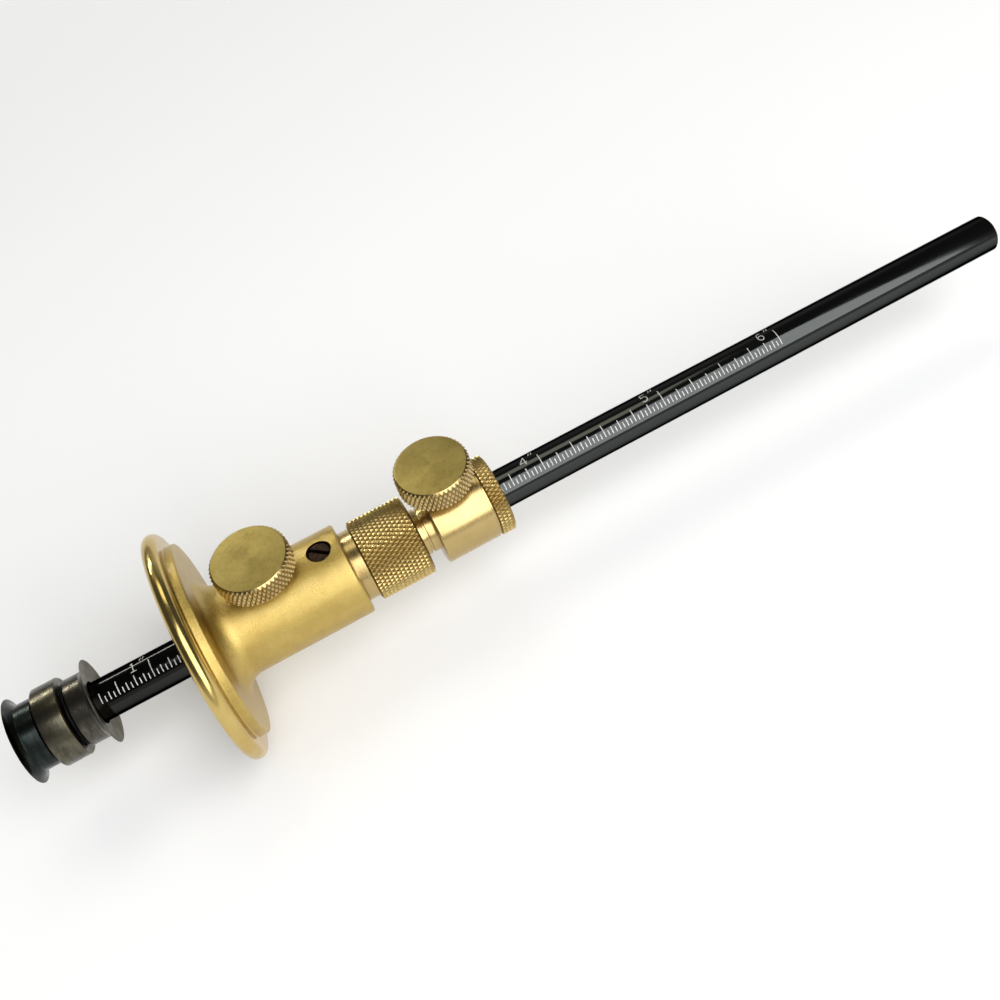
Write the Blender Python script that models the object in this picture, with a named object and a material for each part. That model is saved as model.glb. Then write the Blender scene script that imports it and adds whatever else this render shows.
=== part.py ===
"""Mortise gauge with two cutter wheels, a sliding brass fence and a screw fine adjustment.

The gauge is modelled in metres with +Z up. The rod lies along +X with the cutter wheels at its -X end,
and both thumb screws stand up along +Z. Stations are distances along the rod from the zero of its scale.
"""

import math

import bmesh
import bpy
from mathutils import Vector

MM = 0.001

# Fits between the pieces
SLIDE_CLEARANCE = 0.15 * MM
SEAT_GAP = 0.3 * MM
SHIM_GAP = 0.15 * MM
CUT_OVERRUN = 2.0 * MM

# Rod, and the whole gauge along it from the outer wheel's face
ROD_RADIUS = 3.67 * MM
OVERALL_LENGTH = 200.9 * MM
ROD_CHAMFER = 0.5 * MM
ROD_SHOULDER_CHAMFER = 0.25 * MM
SPIGOT_RADIUS = 2.5 * MM
SPIGOT_CHAMFER = 0.2 * MM
SPIGOT_HOLE_DEPTH = 8.0 * MM

# Cutter wheels, outer and inner alike in section
CUTTER_RADIUS = 7.83 * MM
OUTER_CUTTER_STATION = 1.1 * MM
CUTTER_SPACING = 14.05 * MM
CUTTER_WIDTH = 4.25 * MM
CUTTER_RIM_WIDTH = 0.3 * MM
CUTTER_RIM_ROUND = 0.1 * MM
CUTTER_FLARE_WIDTH = 1.0 * MM
CUTTER_BOSS_RADIUS = 6.15 * MM
CUTTER_BOSS_CHAMFER = 0.2 * MM
CUTTER_DISH_DEPTH = 0.65 * MM
DISH_BOW_SHARE = 0.72
FLARE_BOW_SHARE = 0.36
MID_SHARE = 0.5
COUNTERBORE_RADIUS = 4.0 * MM
COUNTERBORE_DEPTH = 1.85 * MM

# Spacer sleeve and shim between the wheels
SPACER_RADIUS = 7.22 * MM
SPACER_CHAMFER = 0.85 * MM
SHIM_RADIUS = 5.7 * MM
SHIM_THICKNESS = 0.3 * MM

# Countersunk screw that clamps the wheels to the rod
CUTTER_SCREW_RADIUS = 1.5 * MM
CUTTER_SCREW_HEAD_RADIUS = 2.9 * MM
CUTTER_SCREW_HEAD_LAND = 0.2 * MM
CUTTER_SCREW_HEAD_INSET = 0.75 * MM
CUTTER_SCREW_LENGTH = 8.2 * MM
CUTTER_SCREW_SLOT_WIDTH = 0.7 * MM
CUTTER_SCREW_SLOT_DEPTH = 0.6 * MM
COUNTERSINK_WEB = 0.45 * MM

# Fence, at rest that far behind the inner wheel's face
FENCE_SETTING = 18.05 * MM
FENCE_RADIUS = 21.72 * MM
FENCE_RIM_WIDTH = 2.8 * MM
STEP_RADIUS = 18.4 * MM
STEP_WIDTH = 1.7 * MM
STEP_ROUND = 0.3 * MM
RIM_ROOT_ROUND = 0.35 * MM
HUB_RADIUS = 8.64 * MM
HUB_FILLET = 3.6 * MM
HUB_CHAMFER = 0.3 * MM
HUB_WALL = 2.04 * MM
FENCE_BORE_CHAMFER = 0.4 * MM
FENCE_SEGMENTS = 52

# Thumb screws of the fence and of the collar
THUMB_SCREW_SHANK_RADIUS = 2.5 * MM
THUMB_SCREW_TIP_CHAMFER = 0.5 * MM
THUMB_HEAD_CHAMFER_HEIGHT = 0.5 * MM
THUMB_HEAD_CHAMFER_DEPTH = 0.42 * MM
THUMB_HEAD_LOWER_CHAMFER = 0.25 * MM
FENCE_SCREW_DISTANCE = 15.43 * MM
HUB_TAIL_LENGTH = 14.63 * MM
FENCE_SCREW_HEAD_RADIUS = 7.07 * MM
FENCE_SCREW_HEAD_BASE = 11.35 * MM
FENCE_SCREW_HEAD_HEIGHT = 4.1 * MM
COLLAR_SCREW_DISTANCE = 3.94 * MM
COLLAR_SCREW_HEAD_RADIUS = 6.87 * MM
COLLAR_SCREW_HEAD_BASE = 10.75 * MM
COLLAR_SCREW_HEAD_HEIGHT = 4.35 * MM
THUMB_SCREW_SEGMENTS = 42

# Slotted screw that keeps the thimble in the fence, from the hub's end
KEEPER_DISTANCE = 3.96 * MM
KEEPER_RADIUS = 2.0 * MM
KEEPER_TOP_INSET = 0.4 * MM
KEEPER_DOG_RADIUS = 1.15 * MM
KEEPER_SLOT_WIDTH = 0.75 * MM
KEEPER_SLOT_DEPTH = 0.8 * MM
KEEPER_SLOT_ANGLE = math.radians(48)
KEEPER_HOLE_RADIUS = 2.2 * MM

# Thimble
THIMBLE_GAP = 2.1 * MM
THIMBLE_LENGTH = 10.73 * MM
THIMBLE_RADIUS = 7.65 * MM
THIMBLE_CHAMFER = 0.36 * MM
THIMBLE_SPIGOT_RADIUS = HUB_RADIUS - HUB_WALL
THIMBLE_SPIGOT_GAP = 2.53 * MM
THIMBLE_SPIGOT_CHAMFER = 0.4 * MM
THIMBLE_GROOVE_HALF_WIDTH = 1.4 * MM
THIMBLE_GROOVE_DEPTH = 1.0 * MM
THIMBLE_THREAD_DEPTH = 14.0 * MM
THIMBLE_MOUTH_CHAMFER = 0.3 * MM

# Collar
COLLAR_GAP = 2.79 * MM
COLLAR_LENGTH = 13.64 * MM
COLLAR_RADIUS = 7.38 * MM
COLLAR_ROUND = 0.4 * MM
COLLAR_BARREL_LENGTH = 10.35 * MM
COLLAR_GROOVE_WIDTH = 0.34 * MM
COLLAR_GROOVE_DEPTH = 0.5 * MM
COLLAR_BAND_RADIUS = 7.51 * MM
COLLAR_BAND_CHAMFER = 0.3 * MM
NECK_RADIUS = 4.4 * MM
NECK_LENGTH = 12.6 * MM
NECK_TIP_CHAMFER = 0.3 * MM
NECK_RELIEF_DISTANCE = 0.96 * MM
NECK_RELIEF_WIDTH = 0.45 * MM
NECK_RELIEF_DEPTH = 0.3 * MM

# Diamond knurling: the size of one diamond along and around the piece
KNURL_LENGTH = 1.75 * MM
KNURL_WIDTH = 1.07 * MM
KNURL_DEPTH = 0.28 * MM

# Facets of the round pieces
TURNED_SEGMENTS = 40
SCREW_SEGMENTS = 24
ROUND_STEPS = 2
RIM_STEPS = 8
FILLET_STEPS = 5
SMOOTH_ANGLE = math.radians(32)

# Stations that follow from the lengths above
INNER_CUTTER_STATION = OUTER_CUTTER_STATION + CUTTER_SPACING
ROD_END_STATION = OUTER_CUTTER_STATION + OVERALL_LENGTH
FENCE_STATION = INNER_CUTTER_STATION + FENCE_SETTING
FENCE_SCREW_STATION = FENCE_STATION + FENCE_SCREW_DISTANCE
HUB_END_STATION = FENCE_SCREW_STATION + HUB_TAIL_LENGTH
KEEPER_STATION = HUB_END_STATION - KEEPER_DISTANCE
THIMBLE_STATION = HUB_END_STATION + THIMBLE_GAP
THIMBLE_END_STATION = THIMBLE_STATION + THIMBLE_LENGTH
SPIGOT_STATION = FENCE_SCREW_STATION + THUMB_SCREW_SHANK_RADIUS + THIMBLE_SPIGOT_GAP
NECK_RELIEF_STATION = THIMBLE_END_STATION + NECK_RELIEF_DISTANCE
COLLAR_STATION = THIMBLE_END_STATION + COLLAR_GAP
COLLAR_SCREW_STATION = COLLAR_STATION + COLLAR_SCREW_DISTANCE
COLLAR_GROOVE_STATION = COLLAR_STATION + COLLAR_BARREL_LENGTH
COLLAR_END_STATION = COLLAR_STATION + COLLAR_LENGTH

# The row's own frame: origin below the middle of the gauge, on the surface that the rim touches
MIDDLE_STATION = (OUTER_CUTTER_STATION + ROD_END_STATION) / 2

BORE_RADIUS = ROD_RADIUS + SLIDE_CLEARANCE
SPIGOT_BORE_RADIUS = SPIGOT_RADIUS + SLIDE_CLEARANCE
SCREW_HOLE_RADIUS = THUMB_SCREW_SHANK_RADIUS + SLIDE_CLEARANCE


def clear_objects():
    """Remove what the scene holds."""
    for item in list(bpy.data.objects):
        bpy.data.objects.remove(item, do_unlink=True)


def finish_material(name, colour, roughness, metallic=1.0):
    """A Principled material of one colour, roughness and metallic value."""
    material = bpy.data.materials.new(name)
    material.use_nodes = True
    shader = material.node_tree.nodes["Principled BSDF"]
    shader.inputs["Base Color"].default_value = (*colour, 1.0)
    shader.inputs["Roughness"].default_value = roughness
    shader.inputs["Metallic"].default_value = metallic
    return material


def arc(centre, radius, start, end, steps):
    """Points of a round stretch of an outline, as (station, radius), from one angle to another."""
    points = []
    for step in range(steps + 1):
        angle = math.radians(start + (end - start) * step / steps)
        points.append((centre[0] + radius * math.cos(angle), centre[1] + radius * math.sin(angle)))
    return points


def bowed(first, last, along_share, across_share):
    """The middle point of a hollow-ground stretch between two outline points."""
    station = first[0] + (last[0] - first[0]) * along_share
    radius = first[1] + (last[1] - first[1]) * across_share
    return (station, radius)


def ring_of(bm, station, radius, count, phase):
    """One ring of vertices round the X axis, or the single vertex on the axis."""
    if radius == 0:
        return [bm.verts.new((station, 0, 0))]
    ring = []
    for index in range(count):
        angle = 2 * math.pi * (index + phase) / count
        ring.append(bm.verts.new((station, radius * math.sin(angle), radius * math.cos(angle))))
    return ring


def skin(bm, first, last):
    """Faces between two rings of alike count, or between a ring and a vertex on the axis."""
    count = max(len(first), len(last))
    for index in range(count):
        after = (index + 1) % count
        if len(first) == 1:
            bm.faces.new((first[0], last[after], last[index]))
        elif len(last) == 1:
            bm.faces.new((first[index], first[after], last[0]))
        else:
            bm.faces.new((first[index], first[after], last[after], last[index]))


def crown(bm, plain, roots, crests):
    """A chamfer that runs out into a knurled edge: three faces a tooth."""
    count = len(plain)
    for index in range(count):
        after = (index + 1) % count
        bm.faces.new((plain[index], roots[index], crests[index]))
        bm.faces.new((plain[index], crests[index], plain[after]))
        bm.faces.new((plain[after], crests[index], roots[after]))


def diamonds(bm, start, end, crest, count):
    """Diamond knurling between two stations, as rows of four-sided pyramids.

    The roots are the crossings of the two sets of grooves, half a diamond further round in every other
    row, and a crest stands midway between each two roots of a row. It returns both lists of rings.
    """
    rows = max(2, round((end - start) / (KNURL_LENGTH / 2)))
    roots = []
    crests = []
    for row in range(rows + 1):
        station = start + (end - start) * row / rows
        phase = 0.5 * (row % 2)
        roots.append(ring_of(bm, station, crest - KNURL_DEPTH, count, phase))
        crests.append(ring_of(bm, station, crest, count, phase + 0.5))
    for row in range(rows + 1):
        for index in range(count):
            low = roots[row][index]
            high = roots[row][(index + 1) % count]
            tip = crests[row][index]
            beside = (index + row % 2) % count
            if row > 0:
                bm.faces.new((low, roots[row - 1][beside], tip))
                bm.faces.new((roots[row - 1][beside], high, tip))
            if row < rows:
                bm.faces.new((low, tip, roots[row + 1][beside]))
                bm.faces.new((tip, high, roots[row + 1][beside]))
    return roots, crests


def turned(name, outline, material, parent, segments=TURNED_SEGMENTS, knurling=None, outline_after=()):
    """A turned piece round its own X axis.

    outline is the section as (station, radius) points, in order. It starts and ends on the axis for a
    solid piece. For a bored piece it starts and ends at the corners of one end face, which closes it.
    knurling is (start, end, crest radius), and follows outline; outline_after follows the knurling.
    """
    bm = bmesh.new()
    phase = 0.0
    first = ring_of(bm, *outline[0], segments, phase)
    last = first
    for station, radius in outline[1:]:
        ring = ring_of(bm, station, radius, segments, phase)
        skin(bm, last, ring)
        last = ring
    if knurling:
        roots, crests = diamonds(bm, *knurling, segments)
        crown(bm, last, roots[0], crests[0])
        phase = 0.5 * ((len(roots) - 1) % 2)
        for position, (station, radius) in enumerate(outline_after):
            ring = ring_of(bm, station, radius, segments, phase)
            if position == 0:
                crown(bm, ring, roots[-1], crests[-1])
            else:
                skin(bm, last, ring)
            last = ring
    if outline[0][1] > 0:
        skin(bm, last, first)
    bmesh.ops.recalc_face_normals(bm, faces=bm.faces)
    mesh = bpy.data.meshes.new(name)
    bm.to_mesh(mesh)
    bm.free()
    mesh.shade_smooth()
    mesh.set_sharp_from_angle(angle=SMOOTH_ANGLE)
    piece = bpy.data.objects.new(name, mesh)
    bpy.context.collection.objects.link(piece)
    piece.data.materials.append(material)
    piece.parent = parent
    return piece


def cut(piece, name, cutter):
    """Take the cutter's shape out of a piece."""
    cutter.name = name
    cutter.parent = piece.parent
    cutter.hide_render = True
    cutter.display_type = "WIRE"
    boolean = piece.modifiers.new(name, "BOOLEAN")
    boolean.operation = "DIFFERENCE"
    boolean.solver = "EXACT"
    boolean.object = cutter


def drill(station, radius, bottom, top):
    """A cutter for a hole square to the rod, between two heights over the rod's axis."""
    bpy.ops.mesh.primitive_cylinder_add(
        vertices=SCREW_SEGMENTS, radius=radius, depth=top - bottom, location=(station, 0, (top + bottom) / 2)
    )
    return bpy.context.object


def slot_cutter(centre, size, rotation):
    """A cutter for a screwdriver slot: a block of the given size."""
    bpy.ops.mesh.primitive_cube_add(size=1, location=centre, rotation=rotation)
    block = bpy.context.object
    block.scale = size
    return block


def rod(material, parent):
    """The rod, with the turned-down spigot that carries the wheels and the hole for their screw."""
    shoulder = INNER_CUTTER_STATION - COUNTERBORE_DEPTH + SEAT_GAP
    spigot_start = OUTER_CUTTER_STATION + web_depths()[1] + SEAT_GAP
    hole = CUTTER_SCREW_RADIUS + SLIDE_CLEARANCE
    hole_end = spigot_start + SPIGOT_HOLE_DEPTH
    outline = [
        (hole_end + hole, 0),
        (hole_end, hole),
        (spigot_start, hole),
        (spigot_start, SPIGOT_RADIUS - SPIGOT_CHAMFER),
        (spigot_start + SPIGOT_CHAMFER, SPIGOT_RADIUS),
        (shoulder, SPIGOT_RADIUS),
        (shoulder, ROD_RADIUS - ROD_SHOULDER_CHAMFER),
        (shoulder + ROD_SHOULDER_CHAMFER, ROD_RADIUS),
        (ROD_END_STATION - ROD_CHAMFER, ROD_RADIUS),
        (ROD_END_STATION, ROD_RADIUS - ROD_CHAMFER),
        (ROD_END_STATION, 0),
    ]
    return turned("beam_rod", outline, material, parent)


def cutter_section(face, side, bore_outline):
    """The section of a cutter wheel whose sharp face is at a station and whose boss lies to one side.

    bore_outline is the inside, from the face to the end of the boss, as (depth, radius).
    """
    rim = [
        (CUTTER_RIM_ROUND, CUTTER_RADIUS),
        (CUTTER_RIM_WIDTH, CUTTER_RADIUS),
    ]
    flare_end = (CUTTER_FLARE_WIDTH, CUTTER_BOSS_RADIUS)
    boss = [
        flare_end,
        (CUTTER_WIDTH - CUTTER_BOSS_CHAMFER, CUTTER_BOSS_RADIUS),
        (CUTTER_WIDTH, CUTTER_BOSS_RADIUS - CUTTER_BOSS_CHAMFER),
    ]
    dish_edge = (0, CUTTER_RADIUS - CUTTER_RIM_ROUND)
    dish = [
        bore_outline[0],
        bowed(bore_outline[0], dish_edge, 1 - DISH_BOW_SHARE, MID_SHARE),
        dish_edge,
    ]
    section = list(reversed(bore_outline[1:])) + dish + rim
    section += [bowed(rim[-1], flare_end, FLARE_BOW_SHARE, MID_SHARE)] + boss
    return [(face + side * depth, radius) for depth, radius in section]


def countersink_depths():
    """Depths, from the outer wheel's face, of the screw head's top, its cone and the cone's bottom."""
    top = CUTTER_SCREW_HEAD_INSET
    cone = top + CUTTER_SCREW_HEAD_LAND
    bottom = cone + CUTTER_SCREW_HEAD_RADIUS - CUTTER_SCREW_RADIUS
    return top, cone, bottom


def web_depths():
    """Depths, from the outer wheel's face, of the two sides of the web that the screw clamps."""
    start = countersink_depths()[2] + SEAT_GAP
    return start, start + COUNTERSINK_WEB


def outer_cutter(material, parent):
    """The outer wheel: sharp face outwards, countersunk for the screw, boss towards the spacer."""
    cone = countersink_depths()[1]
    web_start, web_end = web_depths()
    head_room = CUTTER_SCREW_HEAD_RADIUS + SEAT_GAP
    hole = CUTTER_SCREW_RADIUS + SLIDE_CLEARANCE
    bore_outline = [
        (CUTTER_DISH_DEPTH, head_room),
        (cone, head_room),
        (web_start, hole),
        (web_end, hole),
        (web_end, SPIGOT_BORE_RADIUS),
        (CUTTER_WIDTH, SPIGOT_BORE_RADIUS),
    ]
    section = cutter_section(OUTER_CUTTER_STATION, 1, bore_outline)
    return turned("outer_cutter_wheel", section, material, parent)


def inner_cutter(material, parent):
    """The inner wheel: the same section turned round, counterbored for the rod's shoulder."""
    bore_outline = [
        (CUTTER_DISH_DEPTH, COUNTERBORE_RADIUS),
        (COUNTERBORE_DEPTH, COUNTERBORE_RADIUS),
        (COUNTERBORE_DEPTH, SPIGOT_BORE_RADIUS),
        (CUTTER_WIDTH, SPIGOT_BORE_RADIUS),
    ]
    section = cutter_section(INNER_CUTTER_STATION, -1, bore_outline)
    return turned("inner_cutter_wheel", section, material, parent)


def spacer_and_shim(spacer_material, shim_material, parent):
    """The sleeve that sets the mortise width between the two wheels, and its thin shim."""
    start = OUTER_CUTTER_STATION + CUTTER_WIDTH + SEAT_GAP
    shim_end = INNER_CUTTER_STATION - CUTTER_WIDTH - SHIM_GAP
    shim_start = shim_end - SHIM_THICKNESS
    end = shim_start - SHIM_GAP
    outline = [
        (end, SPIGOT_BORE_RADIUS),
        (start, SPIGOT_BORE_RADIUS),
        (start, SPACER_RADIUS - SPACER_CHAMFER),
        (start + SPACER_CHAMFER, SPACER_RADIUS),
        (end - SPACER_CHAMFER, SPACER_RADIUS),
        (end, SPACER_RADIUS - SPACER_CHAMFER),
    ]
    turned("spacer_sleeve", outline, spacer_material, parent)
    outline = [
        (shim_end, SPIGOT_BORE_RADIUS),
        (shim_start, SPIGOT_BORE_RADIUS),
        (shim_start, SHIM_RADIUS),
        (shim_end, SHIM_RADIUS),
    ]
    turned("shim_washer", outline, shim_material, parent, segments=SCREW_SEGMENTS)


def cutter_screw(material, parent):
    """The slotted countersunk screw that clamps the wheels against the rod's shoulder."""
    top, cone, bottom = (OUTER_CUTTER_STATION + depth for depth in countersink_depths())
    end = bottom + CUTTER_SCREW_LENGTH
    outline = [
        (top, 0),
        (top, CUTTER_SCREW_HEAD_RADIUS),
        (cone, CUTTER_SCREW_HEAD_RADIUS),
        (bottom, CUTTER_SCREW_RADIUS),
        (end - SPIGOT_CHAMFER, CUTTER_SCREW_RADIUS),
        (end, CUTTER_SCREW_RADIUS - SPIGOT_CHAMFER),
        (end, 0),
    ]
    screw = turned("cutter_screw", outline, material, parent, segments=SCREW_SEGMENTS)
    centre = (top, 0, 0)
    size = (2 * CUTTER_SCREW_SLOT_DEPTH, 2 * CUTTER_SCREW_HEAD_RADIUS + CUT_OVERRUN, CUTTER_SCREW_SLOT_WIDTH)
    cut(screw, "cutter_screw_slot", slot_cutter(centre, size, (0, 0, 0)))


def fence(material, parent):
    """The fence: bullnose rim, stepped disc, filleted hub and the bored seat of the thimble."""
    rim_round = FENCE_RIM_WIDTH / 2
    rim_centre = (FENCE_STATION + rim_round, FENCE_RADIUS - rim_round)
    step_start = FENCE_STATION + FENCE_RIM_WIDTH
    step_end = step_start + STEP_WIDTH
    seat_start = SPIGOT_STATION - SEAT_GAP
    seat_radius = THIMBLE_SPIGOT_RADIUS + SLIDE_CLEARANCE
    outline = [
        (HUB_END_STATION, seat_radius),
        (seat_start, seat_radius),
        (seat_start, BORE_RADIUS),
        (FENCE_STATION + FENCE_BORE_CHAMFER, BORE_RADIUS),
        (FENCE_STATION, BORE_RADIUS + FENCE_BORE_CHAMFER),
    ]
    outline += arc(rim_centre, rim_round, 180, 0, RIM_STEPS)
    root_centre = (step_start + RIM_ROOT_ROUND, STEP_RADIUS + RIM_ROOT_ROUND)
    outline += arc(root_centre, RIM_ROOT_ROUND, 180, 270, ROUND_STEPS)
    outline += arc((step_end - STEP_ROUND, STEP_RADIUS - STEP_ROUND), STEP_ROUND, 90, 0, ROUND_STEPS)
    outline += arc((step_end + HUB_FILLET, HUB_RADIUS + HUB_FILLET), HUB_FILLET, 180, 270, FILLET_STEPS)
    outline += [
        (HUB_END_STATION - HUB_CHAMFER, HUB_RADIUS),
        (HUB_END_STATION, HUB_RADIUS - HUB_CHAMFER),
    ]
    body = turned("fence_body", outline, material, parent, segments=FENCE_SEGMENTS)
    top = HUB_RADIUS + CUT_OVERRUN
    cut(body, "fence_screw_hole", drill(FENCE_SCREW_STATION, SCREW_HOLE_RADIUS, 0, top))
    cut(body, "keeper_hole", drill(KEEPER_STATION, KEEPER_HOLE_RADIUS, 0, top))


def keeper_screw(material, parent):
    """The slotted screw whose dog point runs in the thimble's groove and keeps it in the fence."""
    top = HUB_RADIUS - KEEPER_TOP_INSET
    shoulder = THIMBLE_SPIGOT_RADIUS + SEAT_GAP
    tip = THIMBLE_SPIGOT_RADIUS - THIMBLE_GROOVE_DEPTH + SEAT_GAP
    outline = [
        (tip, 0),
        (tip, KEEPER_DOG_RADIUS),
        (shoulder, KEEPER_DOG_RADIUS),
        (shoulder, KEEPER_RADIUS),
        (top, KEEPER_RADIUS),
        (top, 0),
    ]
    screw = turned("thimble_keeper_screw", outline, material, parent, segments=SCREW_SEGMENTS)
    screw.location = (KEEPER_STATION, 0, 0)
    screw.rotation_euler = (0, -math.pi / 2, 0)
    centre = (KEEPER_STATION, 0, top)
    size = (KEEPER_SLOT_WIDTH, 2 * KEEPER_RADIUS + CUT_OVERRUN, 2 * KEEPER_SLOT_DEPTH)
    cut(screw, "keeper_slot", slot_cutter(centre, size, (0, 0, KEEPER_SLOT_ANGLE)))


def thimble(material, parent):
    """The knurled thimble: grooved spigot in the fence, thread for the collar's neck in its other end."""
    spigot_start = SPIGOT_STATION
    thread_radius = NECK_RADIUS + SLIDE_CLEARANCE
    thread_end = THIMBLE_END_STATION - THIMBLE_THREAD_DEPTH
    groove_radius = THIMBLE_SPIGOT_RADIUS - THIMBLE_GROOVE_DEPTH
    root = THIMBLE_RADIUS - KNURL_DEPTH
    outline = [
        (THIMBLE_END_STATION, thread_radius + THIMBLE_MOUTH_CHAMFER),
        (THIMBLE_END_STATION - THIMBLE_MOUTH_CHAMFER, thread_radius),
        (thread_end, thread_radius),
        (thread_end, BORE_RADIUS),
        (spigot_start, BORE_RADIUS),
        (spigot_start, THIMBLE_SPIGOT_RADIUS - THIMBLE_SPIGOT_CHAMFER),
        (spigot_start + THIMBLE_SPIGOT_CHAMFER, THIMBLE_SPIGOT_RADIUS),
        (KEEPER_STATION - THIMBLE_GROOVE_HALF_WIDTH, THIMBLE_SPIGOT_RADIUS),
        (KEEPER_STATION - THIMBLE_GROOVE_HALF_WIDTH, groove_radius),
        (KEEPER_STATION + THIMBLE_GROOVE_HALF_WIDTH, groove_radius),
        (KEEPER_STATION + THIMBLE_GROOVE_HALF_WIDTH, THIMBLE_SPIGOT_RADIUS),
        (THIMBLE_STATION, THIMBLE_SPIGOT_RADIUS),
        (THIMBLE_STATION, root - THIMBLE_CHAMFER),
    ]
    knurling = (THIMBLE_STATION + THIMBLE_CHAMFER, THIMBLE_END_STATION - THIMBLE_CHAMFER, THIMBLE_RADIUS)
    outline_after = [(THIMBLE_END_STATION, root - THIMBLE_CHAMFER)]
    segments = knurl_count(THIMBLE_RADIUS)
    turned("adjuster_thimble", outline, material, parent, segments, knurling, outline_after)


def knurl_count(radius):
    """The whole number of diamonds that fits round a piece."""
    return round(2 * math.pi * radius / KNURL_WIDTH)


def collar(material, parent):
    """The locking collar: threaded neck for the thimble, plain barrel and knurled end band."""
    neck_start = COLLAR_STATION - NECK_LENGTH
    relief_radius = NECK_RADIUS - NECK_RELIEF_DEPTH
    relief_end = NECK_RELIEF_STATION + NECK_RELIEF_WIDTH
    groove_radius = COLLAR_RADIUS - COLLAR_GROOVE_DEPTH
    band_start = COLLAR_GROOVE_STATION + COLLAR_GROOVE_WIDTH
    root = COLLAR_BAND_RADIUS - KNURL_DEPTH
    outline = [
        (COLLAR_END_STATION, BORE_RADIUS),
        (neck_start, BORE_RADIUS),
        (neck_start, NECK_RADIUS - NECK_TIP_CHAMFER),
        (neck_start + NECK_TIP_CHAMFER, NECK_RADIUS),
        (NECK_RELIEF_STATION, NECK_RADIUS),
        (NECK_RELIEF_STATION, relief_radius),
        (relief_end, relief_radius),
        (relief_end, NECK_RADIUS),
        (COLLAR_STATION, NECK_RADIUS),
    ]
    round_centre = (COLLAR_STATION + COLLAR_ROUND, COLLAR_RADIUS - COLLAR_ROUND)
    outline += arc(round_centre, COLLAR_ROUND, 180, 90, ROUND_STEPS)
    outline += [
        (COLLAR_GROOVE_STATION, COLLAR_RADIUS),
        (COLLAR_GROOVE_STATION, groove_radius),
        (band_start, groove_radius),
        (band_start, root - COLLAR_BAND_CHAMFER),
    ]
    knurling = (band_start + COLLAR_BAND_CHAMFER, COLLAR_END_STATION - COLLAR_BAND_CHAMFER, COLLAR_BAND_RADIUS)
    outline_after = [(COLLAR_END_STATION, root - COLLAR_BAND_CHAMFER)]
    segments = knurl_count(COLLAR_BAND_RADIUS)
    body = turned("locking_collar", outline, material, parent, segments, knurling, outline_after)
    top = COLLAR_RADIUS + CUT_OVERRUN
    cut(body, "collar_screw_hole", drill(COLLAR_SCREW_STATION, SCREW_HOLE_RADIUS, 0, top))


def thumb_screw(name, station, head_radius, head_base, head_height, material, parent):
    """A thumb screw that stands on the rod: plain shank, diamond-knurled head with a chamfered top."""
    tip = ROD_RADIUS + SEAT_GAP
    top = head_base + head_height
    root = head_radius - KNURL_DEPTH
    outline = [
        (tip, 0),
        (tip, THUMB_SCREW_SHANK_RADIUS - THUMB_SCREW_TIP_CHAMFER),
        (tip + THUMB_SCREW_TIP_CHAMFER, THUMB_SCREW_SHANK_RADIUS),
        (head_base, THUMB_SCREW_SHANK_RADIUS),
        (head_base, root - THUMB_HEAD_LOWER_CHAMFER),
    ]
    knurling = (head_base + THUMB_HEAD_LOWER_CHAMFER, top - THUMB_HEAD_CHAMFER_HEIGHT, head_radius)
    outline_after = [
        (top, head_radius - THUMB_HEAD_CHAMFER_DEPTH),
        (top, 0),
    ]
    screw = turned(name, outline, material, parent, THUMB_SCREW_SEGMENTS, knurling, outline_after)
    screw.location = (station, 0, 0)
    screw.rotation_euler = (0, -math.pi / 2, 0)


def build():
    """Model every piece of the gauge."""
    clear_objects()
    axis = bpy.data.objects.new("rod_axis", None)
    axis.location = Vector((-MIDDLE_STATION, 0, FENCE_RADIUS))
    bpy.context.collection.objects.link(axis)

    rod_black = finish_material("rod_black_oxide", (0.018, 0.019, 0.02), 0.28)
    cutter_dark = finish_material("outer_cutter_steel", (0.12, 0.135, 0.13), 0.38)
    cutter_light = finish_material("inner_cutter_steel", (0.24, 0.225, 0.205), 0.34)
    spacer_steel = finish_material("spacer_steel", (0.22, 0.2, 0.165), 0.36)
    shim_dark = finish_material("shim_steel", (0.03, 0.028, 0.03), 0.5)
    screw_dark = finish_material("cutter_screw_steel", (0.06, 0.058, 0.055), 0.4)
    keeper_dark = finish_material("keeper_screw_steel", (0.05, 0.035, 0.025), 0.42)
    fence_brass = finish_material("fence_satin_brass", (0.74, 0.55, 0.24), 0.34)
    thimble_brass = finish_material("thimble_knurled_brass", (0.66, 0.5, 0.24), 0.3)
    collar_brass = finish_material("collar_turned_brass", (0.76, 0.57, 0.28), 0.26)
    fence_screw_brass = finish_material("fence_screw_brass", (0.6, 0.5, 0.22), 0.34)
    collar_screw_brass = finish_material("collar_screw_brass", (0.6, 0.49, 0.22), 0.33)

    rod(rod_black, axis)
    outer_cutter(cutter_dark, axis)
    inner_cutter(cutter_light, axis)
    spacer_and_shim(spacer_steel, shim_dark, axis)
    cutter_screw(screw_dark, axis)
    fence(fence_brass, axis)
    keeper_screw(keeper_dark, axis)
    thimble(thimble_brass, axis)
    collar(collar_brass, axis)
    thumb_screw("fence_thumb_screw", FENCE_SCREW_STATION, FENCE_SCREW_HEAD_RADIUS, FENCE_SCREW_HEAD_BASE,
                FENCE_SCREW_HEAD_HEIGHT, fence_screw_brass, axis)
    thumb_screw("collar_thumb_screw", COLLAR_SCREW_STATION, COLLAR_SCREW_HEAD_RADIUS, COLLAR_SCREW_HEAD_BASE,
                COLLAR_SCREW_HEAD_HEIGHT, collar_screw_brass, axis)


build()
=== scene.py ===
"""Dressed scene of the mortise gauge: turned pieces, real knurling, engraved rule and metal finishes."""

import math

import bmesh
import bpy
from mathutils import Matrix, Vector

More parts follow.
